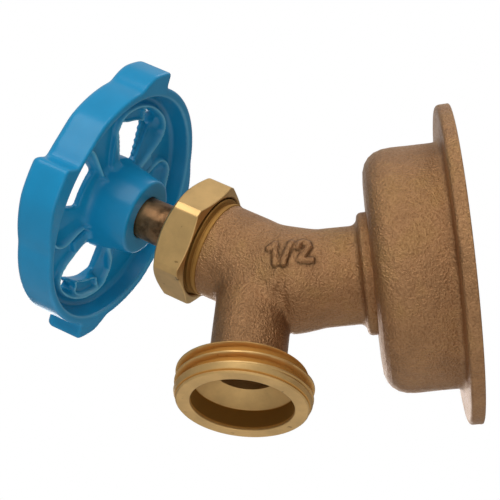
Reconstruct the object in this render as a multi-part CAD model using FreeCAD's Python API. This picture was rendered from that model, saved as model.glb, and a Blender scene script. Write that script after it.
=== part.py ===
import FreeCAD, Part

import math
import os

# Hose bibb for a wall, in millimetres and degrees. The wall is the plane Y = 0, the inlet
# runs along Y through the origin, the tap stands out toward -Y and the spout points down.
# Three axes carry every turned form: the inlet, the stem and the spout.

# Wall flange and bell
flange_radius = 31.6
flange_thickness = 2.8
flange_edge_round = 1.0
flange_back_round = 0.3
bell_radius = 24.3
bell_depth = 18.3
bell_corner_round = 6.1
bell_foot_round = 1.6
bell_wall = 2.6
bell_floor_round = 0.8

# Inlet, with its pipe thread inside the bell
inlet_hub_radius = 13.4
inlet_thread_radius = 10.3
inlet_thread_depth = 13.5
inlet_collar_radius = 12.2
inlet_collar_height = 2.3
inlet_collar_round = 0.7
inlet_collar_fillet = 1.1
inlet_neck_radius = 9.8
inlet_bore_radius = 6.6

# Stem axis: where it crosses the inlet axis, and its lean up from level
stem_cross = 34.4
stem_lean = 34.2

# Valve chamber and seat, measured along the stem axis from the crossing
chamber_bulge_radius = 10.5
chamber_bulge_back = 1.4
chamber_radius = 7.3
seat_height = -4.0
seat_land_radius = 5.6
seat_land_height = 0.8
seat_hole_radius = 4.4
seat_wall = 1.8

# How far the valve opens, and the room left at the end of the lift
stem_lift = 5.08
stem_lift_room = 0.32

# Stem
stem_thread_radius = 6.8
stem_thread_bottom = 5.0
stem_thread_length = 8.0
stem_thread_chamfer = 0.6
stem_foot_radius = 5.2
stem_foot_bottom = 1.6
stem_foot_round = 0.4
stem_radius = 4.6
stem_tip_radius = 4.35
stem_square = 6.6
stem_top = 44.6

# Bonnet nut
nut_start = 18.3
nut_across_flats = 22.5
nut_corner_radius = 12.6
nut_height = 7.4
nut_top_wall = 2.3
nut_chamfer_angle = 30.0
nut_top_face_radius = 10.2
nut_start_chamfer = 0.6
nut_turn = 55.6
nut_mouth_chamfer = 0.35

# Packing
packing_washer_thickness = 0.8
packing_ring_thickness = 3.0
gland_flange_radius = 8.6
gland_flange_thickness = 0.9
gland_gap = 0.1

# Bonnet neck of the body
neck_cast_radius = 9.7
neck_ring_start = 16.6
neck_ring_radius = 9.95
neck_thread_start = 17.3
neck_thread_radius = 10.4
neck_thread_runout = 0.4
neck_top = nut_start + nut_height - nut_top_wall - gland_flange_thickness - gland_gap
neck_top_chamfer = 0.5
stem_thread_start = 8.5
packing_box_floor = stem_thread_bottom + stem_thread_length + stem_lift + stem_lift_room
packing_box_radius = 7.2

# Spout, measured from its mouth back along its axis
spout_mouth_out = 45.6
spout_mouth_down = 26.75
spout_tilt = 9.3
hose_thread_radius = 13.49
hose_thread_height = 6.4
hose_thread_chamfer = 0.6
spout_neck_radius = 7.6
spout_neck_round = 1.2
spout_bore_radius = 6.1
spout_mouth_radius = 10.2
spout_mouth_depth = 4.5
spout_cone_height = 2.5

# Swivelling disc holder with its washer, screw and spring ring
holder_radius = 6.6
holder_skirt_height = 2.0
holder_skirt_round = 0.2
holder_plate_top = 1.3
holder_plate_round = 0.4
holder_shank_radius = 2.3
holder_shank_top = 8.2
holder_shank_round = 0.3
swivel_groove_height = 6.2
swivel_wire = 0.5
swivel_split = 0.8
washer_radius = 5.9
washer_thickness = 3.2
washer_screw_head_radius = 2.7
washer_screw_head_height = 1.3
washer_screw_head_round = 0.5
washer_screw_shank_radius = 1.35
washer_screw_length = 5.5
washer_screw_slot_width = 0.7
washer_screw_slot_depth = 0.6

# Handwheel, measured along the stem axis with the valve shut
hub_back = 34.4
hub_radius = 7.85
hub_back_round = 0.4
hub_root_radius = 9.6
hub_root_fillet = 1.0
square_seat_depth = 0.8
rim_back = 39.75
rim_front = 48.2
rim_radius = 26.05
rim_front_growth = 0.15
rim_front_radius = rim_radius + rim_front_growth
rim_wall = 2.4
rim_edge_round = 0.45
rim_front_round = 1.7
rim_root_round = 1.0
rim_root_draft = 0.3
rim_inside_taper = 1.2
web_back = 43.2
web_rise = 2.7
web_thickness = 1.5
web_edge_round = 0.2
boss_radius = 7.8
boss_taper = 0.5
wheel_edge_round = 0.3
short_lobe_starts = (126.0, 306.0)
short_lobe_height = 3.4
short_lobe_radius = rim_radius + short_lobe_height
short_lobe_rise = 4.2
short_lobe_crest = 8.5
short_lobe_drop = 0.9
short_lobe_length = 25.0
long_lobe_starts = (20.0, 200.0)
long_lobe_height = 3.25
long_lobe_radius = rim_radius + long_lobe_height
long_lobe_rise = 6.0
long_lobe_crest = 13.0
long_lobe_drop = 0.4
long_lobe_length = 50.0
lobe_fall_share = 0.3
window_starts = (102.0, 282.0)
window_sweep = 45.5
window_inner_radius = 9.8
window_outer_radius = 17.0
hook_gap = 6.5
hook_width = 1.1
hook_slot_sweep = 24.0
hook_slot_width = 1.8
hook_slot_outer_radius = window_outer_radius + hook_width + hook_slot_width
slot_starts = (187.0, 7.0)
slot_sweep = 38.0
slot_inner_radius = 12.0
slot_outer_radius = 20.2
opening_corner_round = 0.9
jaw_lean = 3.0
jaw_foot_radius = 11.0
jaw_root = 2.0
jaw_teeth = 6
jaw_tooth_height = 0.5
jaw_tooth_share = 0.35
window_bead = (78.0, 86.0, 10.6, 22.2)
slot_bead = (183.0, 59.0, 10.6, 22.2)
bead_corner_round = 3.0
bead_width = 1.1
bead_height = 0.9

# Handle screw
handle_screw_head_radius = 5.2
handle_screw_head_height = 2.2
handle_screw_head_round = 1.2
handle_screw_shank_radius = 1.9
handle_screw_length = 8.5
handle_screw_hole_depth = 9.0
screw_slot_width = 1.0
screw_slot_depth = 1.0
screw_seat_height = 46.4

# Clearances, how far a cut runs past a face, and how far a joined form reaches into its neighbour
thread_clearance = 0.12
running_clearance = 0.15
seat_clearance = 0.02
square_clearance = 0.05
groove_clearance = 0.1
cut_past = 1.0
join_depth = 0.5

# Largest share of a sector's width that a rounded corner may take, and the smallest edge kept
corner_share = 0.4
shortest_edge = 1e-6


def frame(base, turn):
    """Placement whose local Z is the world Z turned about X by the given degrees."""
    return FreeCAD.Placement(base, FreeCAD.Rotation(FreeCAD.Vector(1, 0, 0), turn))


inlet_frame = frame(FreeCAD.Vector(0, 0, 0), 90)
stem_frame = frame(FreeCAD.Vector(0, -stem_cross, 0), 90 - stem_lean)
spout_frame = frame(FreeCAD.Vector(0, -spout_mouth_out, -spout_mouth_down), -spout_tilt)
wheel_frame = FreeCAD.Placement()


def rounded_wire(corners):
    """Closed wire in the XZ plane through (x, z, round) corners, each cut by a tangent arc."""
    points = [FreeCAD.Vector(x, 0, z) for x, z, _ in corners]
    arcs = []
    for index, (here, corner) in enumerate(zip(points, corners)):
        back = (points[index - 1] - here).normalize()
        ahead = (points[(index + 1) % len(points)] - here).normalize()
        half = back.getAngle(ahead) / 2
        reach = corner[2] / math.tan(half)
        inward = back + ahead
        if inward.Length > shortest_edge:
            inward = inward.normalize() * (corner[2] / math.sin(half) - corner[2])
        arcs.append((here + back * reach, here + inward, here + ahead * reach))
    edges = []
    for index, (start, middle, end) in enumerate(arcs):
        leave = arcs[index - 1][2]
        if leave.distanceToPoint(start) > shortest_edge:
            edges.append(Part.LineSegment(leave, start).toShape())
        if start.distanceToPoint(end) > shortest_edge:
            edges.append(Part.Arc(start, middle, end).toShape())
    return Part.Wire(edges)


def turned(corners, placement):
    """Solid of revolution about the local Z axis from (radius, height, round) corners."""
    solid = Part.Face(rounded_wire(corners)).revolve(FreeCAD.Vector(), FreeCAD.Vector(0, 0, 1), 360)
    solid.Placement = placement
    return solid


def rod(radius, low, high, placement):
    """Plain cylinder between two heights on a frame's axis."""
    solid = Part.makeCylinder(radius, high - low, FreeCAD.Vector(0, 0, low))
    solid.Placement = placement
    return solid


def ring(inner, outer, low, high, placement):
    """Plain ring between two heights on a frame's axis."""
    return rod(outer, low, high, placement).cut(rod(inner, low, high, placement))


def bar(length, width, low, high, placement):
    """Square-edged bar centred on a frame's axis between two heights."""
    solid = Part.makeBox(length, width, high - low, FreeCAD.Vector(-length / 2, -width / 2, low))
    solid.Placement = placement
    return solid


def polar(radius, angle):
    """Point at a radius and an angle about the local Z axis."""
    turn = math.radians(angle)
    return FreeCAD.Vector(radius * math.cos(turn), radius * math.sin(turn), 0)


def on_wheel(radius, reading):
    """Point on the wheel at a radius and an angle read from the wall side, 0 at -X and 90 up."""
    return polar(radius, 180 - reading)


def prism(outline, low, high):
    """Prism between two heights over a closed outline given as edges or wires."""
    block = Part.Face(Part.Wire(outline)).extrude(FreeCAD.Vector(0, 0, high - low))
    block.translate(FreeCAD.Vector(0, 0, low))
    return block


def bell_and_flange():
    """Wall flange and bell in one, still solid inside."""
    return turned(((0, 0, 0), (flange_radius, 0, flange_back_round),
                   (flange_radius, flange_thickness, flange_edge_round),
                   (bell_radius, flange_thickness, bell_foot_round),
                   (bell_radius, bell_depth, bell_corner_round),
                   (0, bell_depth, 0)), inlet_frame)


def bell_hollow():
    """Space inside the bell round the inlet hub, open to the wall."""
    inner = bell_radius - bell_wall
    floor = bell_depth - bell_wall
    return turned(((inlet_hub_radius, -cut_past, 0), (inner, -cut_past, 0),
                   (inner, floor, bell_corner_round - bell_wall),
                   (inlet_hub_radius, floor, bell_floor_round)), inlet_frame)


def neck_outside():
    """Outside of the inlet neck, chamber, bonnet neck and spout, joined and still solid."""
    collar_start = bell_depth - bell_wall
    collar_end = bell_depth + inlet_collar_height
    inlet = turned(((0, collar_start, 0), (inlet_collar_radius, collar_start, 0),
                    (inlet_collar_radius, collar_end, inlet_collar_round),
                    (inlet_neck_radius, collar_end, inlet_collar_fillet),
                    (inlet_neck_radius, stem_cross, 0), (0, stem_cross, 0)), inlet_frame)
    bulge = Part.makeSphere(chamber_bulge_radius, FreeCAD.Vector(0, chamber_bulge_back - stem_cross, 0))
    bonnet = rod(neck_cast_radius, 0, neck_ring_start, stem_frame)
    spout = rod(spout_neck_radius, hose_thread_height / 2, spout_mouth_down, spout_frame)
    return inlet.fuse([bulge, bonnet, spout])


def hose_end():
    """Threaded collar at the spout's mouth, without its threads."""
    rim = hose_thread_radius - hose_thread_chamfer
    neck_end = hose_thread_height + 2 * spout_neck_round
    return turned(((0, 0, 0), (rim, 0, 0), (hose_thread_radius, hose_thread_chamfer, 0),
                   (hose_thread_radius, hose_thread_height - hose_thread_chamfer, 0),
                   (rim, hose_thread_height, 0),
                   (spout_neck_radius, hose_thread_height, spout_neck_round),
                   (spout_neck_radius, neck_end, 0), (0, neck_end, 0)), spout_frame)


def bonnet_neck_end():
    """Machined ring and threaded end of the bonnet neck."""
    return turned(((0, neck_ring_start, 0), (neck_ring_radius, neck_ring_start, 0),
                   (neck_ring_radius, neck_thread_start, 0),
                   (neck_thread_radius, neck_thread_start + neck_thread_runout, 0),
                   (neck_thread_radius, neck_top - neck_top_chamfer, 0),
                   (neck_thread_radius - neck_top_chamfer, neck_top, 0), (0, neck_top, 0)), stem_frame)


def water_way():
    """Everything bored out of the body: inlet, seat, chamber, stem thread, packing box, spout."""
    inlet_thread = rod(inlet_thread_radius, -cut_past, inlet_thread_depth, inlet_frame)
    floor = seat_height - seat_land_height
    seat_back = floor - seat_wall
    behind_seat = rod(3 * stem_cross, seat_back - 2 * stem_cross, seat_back, stem_frame)
    inlet_bore = rod(inlet_bore_radius, inlet_thread_depth - cut_past, stem_cross, inlet_frame)
    inlet_bore = inlet_bore.common(behind_seat)
    seat_hole = rod(seat_hole_radius, seat_back - cut_past, seat_height + cut_past, stem_frame)
    chamber = rod(chamber_radius, floor, stem_thread_start, stem_frame)
    chamber = chamber.cut(rod(seat_land_radius, floor - cut_past, seat_height, stem_frame))
    thread_radius = stem_thread_radius + thread_clearance
    stem_thread = rod(thread_radius, stem_thread_start - cut_past, packing_box_floor + cut_past, stem_frame)
    packing_box = rod(packing_box_radius, packing_box_floor, neck_top + cut_past, stem_frame)
    spout_top = spout_mouth_down - cut_past
    spout = turned(((0, -cut_past, 0), (spout_mouth_radius, -cut_past, 0),
                    (spout_mouth_radius, spout_mouth_depth, 0),
                    (spout_bore_radius, spout_mouth_depth + spout_cone_height, 0),
                    (spout_bore_radius, spout_top, 0), (0, spout_top, 0)), spout_frame)
    return inlet_thread.fuse([inlet_bore, seat_hole, chamber, stem_thread, packing_box, spout])


def valve_body():
    """The one casting: flange, bell, inlet hub, chamber with its seat, bonnet neck and spout."""
    shell = bell_and_flange().cut(bell_hollow())
    outside = shell.fuse([neck_outside(), hose_end(), bonnet_neck_end()])
    return outside.cut(water_way()).removeSplitter()


def hexagon(across_flats, low, high):
    """Hexagonal bar on the local Z axis."""
    corner = across_flats / 2 / math.cos(math.pi / 6)
    return prism([Part.makePolygon([polar(corner, 60 * k) for k in range(7)])], low, high)


def bonnet_nut():
    """Hexagonal cap nut that screws on the bonnet neck and holds the packing down."""
    top = nut_start + nut_height
    inside = top - nut_top_wall
    chamfer_drop = (nut_corner_radius - nut_top_face_radius) * math.tan(math.radians(nut_chamfer_angle))
    blank = hexagon(nut_across_flats, nut_start, top)
    blank.rotate(FreeCAD.Vector(), FreeCAD.Vector(0, 0, 1), nut_turn)
    blank.Placement = stem_frame.multiply(blank.Placement)
    mouth_radius = neck_thread_radius + thread_clearance
    envelope = turned(((0, nut_start, 0), (mouth_radius + nut_mouth_chamfer, nut_start, 0),
                       (nut_corner_radius, nut_start + nut_start_chamfer, 0),
                       (nut_corner_radius, top - chamfer_drop, 0), (nut_top_face_radius, top, 0),
                       (0, top, 0)), stem_frame)
    hole_radius = stem_radius + running_clearance
    bore = turned(((0, nut_start - cut_past, 0), (mouth_radius, nut_start - cut_past, 0),
                   (mouth_radius, inside, 0), (hole_radius, inside, 0),
                   (hole_radius, top + cut_past, 0), (0, top + cut_past, 0)), stem_frame)
    return blank.common(envelope).cut(bore)


def packing_washer():
    """Brass washer on the floor of the packing box."""
    return ring(stem_radius + running_clearance, packing_box_radius - seat_clearance, packing_box_floor,
                packing_box_floor + packing_washer_thickness, stem_frame)


def packing_ring():
    """Soft packing squeezed between the washer and the gland."""
    low = packing_box_floor + packing_washer_thickness
    return ring(stem_radius + running_clearance / 2, packing_box_radius - seat_clearance, low,
                low + packing_ring_thickness, stem_frame)


def packing_gland():
    """Flanged brass follower that the nut presses on the packing."""
    low = packing_box_floor + packing_washer_thickness + packing_ring_thickness
    top = nut_start + nut_height - nut_top_wall
    inner = stem_radius + running_clearance
    flange = ring(inner, gland_flange_radius, top - gland_flange_thickness, top, stem_frame)
    sleeve = ring(inner, packing_box_radius - running_clearance, low, top, stem_frame)
    return sleeve.fuse(flange).removeSplitter()


def stem():
    """Bronze stem: swivel socket at its foot, coarse thread, plain shaft, square for the wheel."""
    thread_top = stem_thread_bottom + stem_thread_length
    square_start = hub_back + square_seat_depth
    body = turned(((0, stem_foot_bottom, 0), (stem_foot_radius, stem_foot_bottom, stem_foot_round),
                   (stem_foot_radius, stem_thread_bottom - stem_thread_chamfer, 0),
                   (stem_thread_radius, stem_thread_bottom, 0),
                   (stem_thread_radius, thread_top - stem_thread_chamfer, 0), (stem_radius, thread_top, 0),
                   (stem_radius, nut_start + nut_height, 0), (stem_tip_radius, hub_back, 0),
                   (stem_tip_radius, stem_top, 0), (0, stem_top, 0)), stem_frame)
    square = bar(stem_square, stem_square, square_start, stem_top + cut_past, stem_frame)
    waste = rod(2 * stem_radius, square_start, stem_top + cut_past, stem_frame).cut(square)
    socket_radius = holder_shank_radius + running_clearance
    socket_end = holder_shank_top + holder_shank_round
    socket = rod(socket_radius, stem_foot_bottom - cut_past, socket_end, stem_frame)
    groove_half = swivel_wire + groove_clearance
    groove = rod(socket_radius + swivel_wire, swivel_groove_height - groove_half,
                 swivel_groove_height + groove_half, stem_frame)
    screw_hole = rod(handle_screw_shank_radius + seat_clearance, stem_top - handle_screw_hole_depth,
                     stem_top + cut_past, stem_frame)
    return body.cut([waste, socket, groove, screw_hole])


def disc_holder():
    """Swivelling cup that carries the rubber washer and turns freely in the stem's foot."""
    washer_top = seat_height + washer_thickness
    skirt_radius = washer_radius + seat_clearance
    skirt_end = washer_top - holder_skirt_height
    cup = turned(((0, washer_top, 0), (skirt_radius, washer_top, 0), (skirt_radius, skirt_end, 0),
                  (holder_radius, skirt_end, holder_skirt_round),
                  (holder_radius, holder_plate_top, holder_plate_round),
                  (holder_shank_radius, holder_plate_top, 0),
                  (holder_shank_radius, holder_shank_top, holder_shank_round),
                  (0, holder_shank_top, 0)), stem_frame)
    groove_half = swivel_wire + seat_clearance
    groove = ring(holder_shank_radius - swivel_wire, 2 * holder_shank_radius,
                  swivel_groove_height - groove_half, swivel_groove_height + groove_half, stem_frame)
    screw_hole = rod(washer_screw_shank_radius + seat_clearance, washer_top - cut_past,
                     seat_height + washer_screw_length + join_depth, stem_frame)
    return cup.cut([groove, screw_hole])


def swivel_ring():
    """Spring wire ring, split, that keeps the holder's shank in the stem."""
    centre = holder_shank_radius + seat_clearance
    torus = Part.makeTorus(centre, swivel_wire - seat_clearance, FreeCAD.Vector(0, 0, swivel_groove_height))
    split = bar(2 * centre, swivel_split, swivel_groove_height - 2 * swivel_wire,
                swivel_groove_height + 2 * swivel_wire, FreeCAD.Placement(FreeCAD.Vector(centre, 0, 0),
                                                                          FreeCAD.Rotation()))
    loop = torus.cut(split)
    loop.Placement = stem_frame
    return loop


def seat_washer():
    """Flat rubber washer that closes on the seat."""
    return ring(washer_screw_shank_radius + seat_clearance, washer_radius, seat_height,
                seat_height + washer_thickness, stem_frame)


def washer_screw():
    """Brass screw through the washer into the holder, its slotted head in the seat hole."""
    low = seat_height - washer_screw_head_height
    tip = seat_height + washer_screw_length
    screw = turned(((0, low, 0), (washer_screw_head_radius, low, washer_screw_head_round),
                    (washer_screw_head_radius, seat_height, 0), (washer_screw_shank_radius, seat_height, 0),
                    (washer_screw_shank_radius, tip, 0), (0, tip, 0)), stem_frame)
    slot = bar(4 * washer_screw_head_radius, washer_screw_slot_width, low - cut_past,
               low + washer_screw_slot_depth, stem_frame)
    return screw.cut(slot)


def lobe(start, radius, rise, crest_sweep, drop, length):
    """One saw-tooth grip lobe of the rim: a steep side, a crest and a long fall."""
    foot = rim_radius - rim_wall / 2
    crest_end = start + rise + crest_sweep
    end = start + length
    fall_radius = rim_radius + lobe_fall_share * (radius - rim_radius)
    corners = [on_wheel(foot, start), on_wheel(radius, start + rise),
               on_wheel(radius - drop, crest_end), on_wheel(foot, end)]
    crest = on_wheel(radius, crest_end - crest_sweep / 2)
    fall = on_wheel(fall_radius, (crest_end + end) / 2)
    outline = [Part.LineSegment(corners[0], corners[1]).toShape(),
               Part.Arc(corners[1], crest, corners[2]).toShape(),
               Part.Arc(corners[2], fall, corners[3]).toShape(),
               Part.LineSegment(corners[3], corners[0]).toShape()]
    return prism(outline, rim_back, rim_front - rim_edge_round)


def sector(inner, outer, start, sweep, corner, low, high):
    """Prism over a ring sector read on the wheel, with its upright edges rounded."""
    end = start + sweep
    middle = start + sweep / 2
    outline = [Part.Arc(on_wheel(outer, start), on_wheel(outer, middle), on_wheel(outer, end)).toShape(),
               Part.LineSegment(on_wheel(outer, end), on_wheel(inner, end)).toShape(),
               Part.Arc(on_wheel(inner, end), on_wheel(inner, middle), on_wheel(inner, start)).toShape(),
               Part.LineSegment(on_wheel(inner, start), on_wheel(outer, start)).toShape()]
    block = prism(outline, low, high)
    corner = min(corner, corner_share * (outer - inner), corner_share * inner * math.radians(sweep))
    upright = [edge for edge in block.Edges if abs(edge.tangentAt(edge.FirstParameter).z) > 0.5]
    return block.makeFillet(corner, upright)


def hook_window(start, low, high):
    """Large window of the web with the slot that leaves a curved hook along its outer side."""
    hook_outer = window_outer_radius + hook_width
    window = sector(window_inner_radius, window_outer_radius, start, window_sweep,
                    opening_corner_round, low, high)
    neck = sector(window_outer_radius - hook_width, hook_slot_outer_radius, start, hook_gap,
                  opening_corner_round, low, high)
    slot = sector(hook_outer, hook_slot_outer_radius, start, hook_slot_sweep, opening_corner_round, low, high)
    return window.fuse([neck, slot])


def toothed_jaw(start, low, high):
    """Wedge along a window's side, its free edge cut into small grip teeth."""
    foot = on_wheel(jaw_foot_radius, start - jaw_root / 2)
    head = on_wheel(window_outer_radius, start + jaw_lean)
    step = (head - foot) / jaw_teeth
    rise = FreeCAD.Vector(-step.y, step.x, 0).normalize() * jaw_tooth_height
    if rise.dot(on_wheel(1, start + 90)) < 0:
        rise = rise * -1
    points = [foot]
    for tooth in range(jaw_teeth):
        points += [foot + step * (tooth + jaw_tooth_share) + rise, foot + step * (tooth + 1)]
    points += [on_wheel(window_outer_radius, start - jaw_root),
               on_wheel(jaw_foot_radius, start - jaw_root), foot]
    return prism([Part.makePolygon(points)], low, high).common(web_layer(web_thickness / 2, high))


def web_height(radius):
    """Height of the dished web's back face at a radius: it rises evenly from the hub to the rim."""
    return web_back + web_rise * (radius - hub_root_radius) / (rim_radius - rim_wall - hub_root_radius)


def web_front(radius):
    """Height of the dished web's front face at a radius."""
    return web_height(radius) + web_thickness


def web_layer(low, high):
    """Dished layer of the wheel between two depths below the web's back face."""
    inner = hub_radius
    outer = rim_radius - rim_wall / 2
    return turned(((inner, web_height(inner) + low, 0), (outer, web_height(outer) + low, 0),
                   (outer, web_height(outer) + high, 0), (inner, web_height(inner) + high, 0)), wheel_frame)


def bead(start, sweep, inner, outer, low, high):
    """Outline of a raised bead round an opening, as the rim of a ring sector."""
    half = bead_width / 2
    grow = math.degrees(2 * half / (inner + outer))
    outside = sector(inner - half, outer + half, start - grow, sweep + 2 * grow,
                     bead_corner_round + half, low, high)
    inside = sector(inner + half, outer - half, start + grow, sweep - 2 * grow,
                    bead_corner_round - half, low - cut_past, high + cut_past)
    return outside.cut(inside)


def wheel_blank():
    """Hub, web and rim of the wheel as one turned form."""
    rim_inside = rim_radius - rim_wall
    front_inside = rim_inside - rim_inside_taper
    boss_foot = boss_radius + boss_taper
    return turned(((0, hub_back, 0), (hub_radius, hub_back, hub_back_round),
                   (hub_root_radius, web_back, hub_root_fillet),
                   (rim_inside - rim_root_draft, web_height(rim_inside), rim_root_round),
                   (rim_inside, rim_back, rim_edge_round), (rim_radius, rim_back, rim_edge_round),
                   (rim_front_radius, rim_front - 2 * rim_front_round, rim_root_round),
                   (rim_front_radius, rim_front, rim_front_round),
                   (front_inside, rim_front, wheel_edge_round),
                   (front_inside - rim_root_draft, web_front(front_inside), wheel_edge_round),
                   (boss_foot, web_front(boss_foot), web_edge_round),
                   (boss_radius, screw_seat_height, wheel_edge_round),
                   (0, screw_seat_height, 0)), wheel_frame)


def handwheel():
    """Cast wheel: hub with a square hole, pierced web with beaded edges, deep rim with lobes."""
    cut_low = web_back - bead_height - cut_past
    cut_high = rim_front + cut_past
    layer = web_layer(-bead_height, join_depth)
    added = [lobe(start, short_lobe_radius, short_lobe_rise, short_lobe_crest, short_lobe_drop,
                  short_lobe_length) for start in short_lobe_starts]
    added += [lobe(start, long_lobe_radius, long_lobe_rise, long_lobe_crest, long_lobe_drop, long_lobe_length)
              for start in long_lobe_starts]
    openings = []
    for window_start, slot_start in zip(window_starts, slot_starts):
        turn = window_start - window_starts[0]
        for reading, sweep, inner, outer in (window_bead, slot_bead):
            added.append(layer.common(bead(reading + turn, sweep, inner, outer, cut_low, cut_high)))
        jaw = toothed_jaw(window_start, cut_low - cut_past, cut_high + cut_past)
        openings.append(hook_window(window_start, cut_low, cut_high).cut(jaw))
        openings.append(sector(slot_inner_radius, slot_outer_radius, slot_start, slot_sweep,
                               opening_corner_round, cut_low, cut_high))
    across = stem_square + 2 * square_clearance
    hole = bar(across, across, hub_back - cut_past, cut_high, wheel_frame)
    hole = hole.common(rod(stem_tip_radius + square_clearance, hub_back - cut_past, cut_high, wheel_frame))
    shaft_hole = rod(stem_tip_radius + square_clearance, hub_back - cut_past, hub_back + square_seat_depth,
                     wheel_frame)
    wheel = wheel_blank().fuse(added).cut(openings + [hole, shaft_hole]).removeSplitter()
    wheel.Placement = stem_frame
    return wheel


def handle_screw():
    """Round-head slotted screw that holds the wheel on the stem."""
    tip = stem_top - handle_screw_length
    top = screw_seat_height + handle_screw_head_height
    screw = turned(((0, tip, 0), (handle_screw_shank_radius, tip, 0),
                    (handle_screw_shank_radius, screw_seat_height, 0),
                    (handle_screw_head_radius, screw_seat_height, 0),
                    (handle_screw_head_radius, top, handle_screw_head_round), (0, top, 0)), stem_frame)
    slot = bar(4 * handle_screw_head_radius, screw_slot_width, top - screw_slot_depth,
               top + cut_past, stem_frame)
    return screw.cut(slot)


pieces = {
    "valve_body": valve_body(),
    "bonnet_nut": bonnet_nut(),
    "packing_washer": packing_washer(),
    "packing_ring": packing_ring(),
    "packing_gland": packing_gland(),
    "stem": stem(),
    "disc_holder": disc_holder(),
    "swivel_ring": swivel_ring(),
    "seat_washer": seat_washer(),
    "washer_screw": washer_screw(),
    "handwheel": handwheel(),
    "handle_screw": handle_screw(),
}

os.makedirs("parts", exist_ok=True)
for name, shape in pieces.items():
    shape.exportStep("parts/" + name + ".step")
    box = shape.BoundBox
    print(name, len(shape.Solids), "solids", shape.isValid(), "volume", round(shape.Volume, 1),
          "box", [round(v, 2) for v in (box.XMin, box.XMax, box.YMin, box.YMax, box.ZMin, box.ZMax)])
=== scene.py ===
import math

import bpy
import numpy as np
from mathutils import Matrix, Vector


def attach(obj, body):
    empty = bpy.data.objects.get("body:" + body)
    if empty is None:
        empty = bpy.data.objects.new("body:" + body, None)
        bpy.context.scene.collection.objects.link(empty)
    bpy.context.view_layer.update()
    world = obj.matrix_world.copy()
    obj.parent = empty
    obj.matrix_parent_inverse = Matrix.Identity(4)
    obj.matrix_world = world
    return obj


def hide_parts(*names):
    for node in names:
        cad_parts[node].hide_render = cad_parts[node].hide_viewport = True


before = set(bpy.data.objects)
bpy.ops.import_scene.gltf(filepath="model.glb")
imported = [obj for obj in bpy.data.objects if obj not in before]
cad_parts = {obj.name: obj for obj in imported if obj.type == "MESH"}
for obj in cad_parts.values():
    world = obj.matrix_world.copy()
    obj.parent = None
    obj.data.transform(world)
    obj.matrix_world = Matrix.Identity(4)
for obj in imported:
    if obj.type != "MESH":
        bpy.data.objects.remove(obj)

bl_info = {
    "name": "Hose Bibb",
    "version": (1, 0, 0),
    "blender": (4, 5, 0),
    "location": "3D Viewport > Sidebar > Hose Bibb",
    "description": "Wall tap with a bell flange, a lobed handwheel and a threaded hose spout",
    "category": "Object",
}

# Shapes are worked out in millimetres. The wall is the plane Y = 0, the inlet runs along Y,
# the tap stands out toward -Y and the spout points down.
MM = 0.001

# How far the stem leans above the level, and the spout off the plumb line
LEAN = math.radians(34.2)
TILT = math.radians(9.3)

# Each axis frame is its base point and its local X, Y and Z directions
INLET = np.array([[0, 0, 0], [1, 0, 0], [0, 0, 1], [0, -1, 0]], float)
STEM = np.array([[0, -34.4, 0], [1, 0, 0], [0, math.sin(LEAN), math.cos(LEAN)],
                 [0, -math.cos(LEAN), math.sin(LEAN)]])
SPOUT = np.array([[0, -45.6, -26.75], [1, 0, 0], [0, math.cos(TILT), -math.sin(TILT)],
                  [0, math.sin(TILT), math.cos(TILT)]])


def linear(code):
    """Linear colour from an sRGB hex code."""
    channels = [int(code[i:i + 2], 16) / 255 for i in (0, 2, 4)]
    return [c / 12.92 if c <= 0.04045 else ((c + 0.055) / 1.055) ** 2.4 for c in channels]


WHITE = linear("FFFFFF")


def length(name, description, millimetres):
    """Length property with its default given in millimetres."""
    return bpy.props.FloatProperty(name=name, description=description, default=millimetres * MM,
                                   min=0.0, unit="LENGTH", precision=5)


def colour(name, description, code):
    """Colour property with its default given as an sRGB hex code."""
    return bpy.props.FloatVectorProperty(name=name, description=description, default=linear(code),
                                         size=3, min=0.0, max=1.0, subtype="COLOR")


class BIBB_PG_casting(bpy.types.PropertyGroup):
    flange_radius: length("Flange radius", "Outside radius of the wall flange", 31.58)
    bell_radius: length("Bell radius", "Outside radius of the bell behind the neck", 24.3)
    neck_radius: length("Neck radius", "Outside radius of the inlet neck", 9.8)
    unevenness: length("Unevenness", "How far the sand-cast skin wanders from its true form", 0.08)
    mark_height: length("Mark height", "How far the cast size mark stands proud", 0.5)


class BIBB_PG_threads(bpy.types.PropertyGroup):
    hose_pitch: length("Hose thread pitch", "Distance between crests of the hose thread", 2.209)
    hose_depth: length("Hose thread depth", "Height of the hose thread's crests", 1.15)
    bonnet_pitch: length("Bonnet thread pitch", "Distance between crests of the bonnet thread", 1.5)
    across_flats: length("Across flats", "Width of the bonnet nut over its flats", 22.5)


class BIBB_PG_wheel(bpy.types.PropertyGroup):
    rim_radius: length("Rim radius", "Outside radius of the rim between its lobes", 26.05)
    rim_lip: length("Rim lip", "Thickness of the rim at its open edge", 1.75)
    rim_wall: length("Rim wall", "Thickness of the rim at the web", 2.85)
    web_thickness: length("Web thickness", "Thickness of the pierced web at its openings", 1.5)
    bead_height: length("Bead height", "How far the bead round each ear stands proud of the web", 1.0)


class BIBB_PG_finish(bpy.types.PropertyGroup):
    bronze: colour("Bronze", "Sand-cast bronze of the body", "B1865E")
    brass: colour("Brass", "Machined brass of the nut and mouth", "D8B276")
    groove: colour("Groove", "Brass deep in a thread, lit only by its own reflections", "D09A4A")
    enamel: colour("Enamel", "Gloss enamel of the handwheel", "158CBD")
    shaft: colour("Shaft", "Drawn bronze of the stem", "A87C55")


def place(axes, x, y, z):
    """World points from coordinates in an axis frame: base plus each coordinate times its direction."""
    x, y, z = np.broadcast_arrays(x, y, z)
    return axes[0] + x[..., None] * axes[1] + y[..., None] * axes[2] + z[..., None] * axes[3]


def within(axes, points):
    """Coordinates of world points in an axis frame: their offsets from its base along each direction."""
    return [sum((points[k] - axes[0][k]) * axes[row][k] for k in range(3)) for row in (1, 2, 3)]


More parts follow.
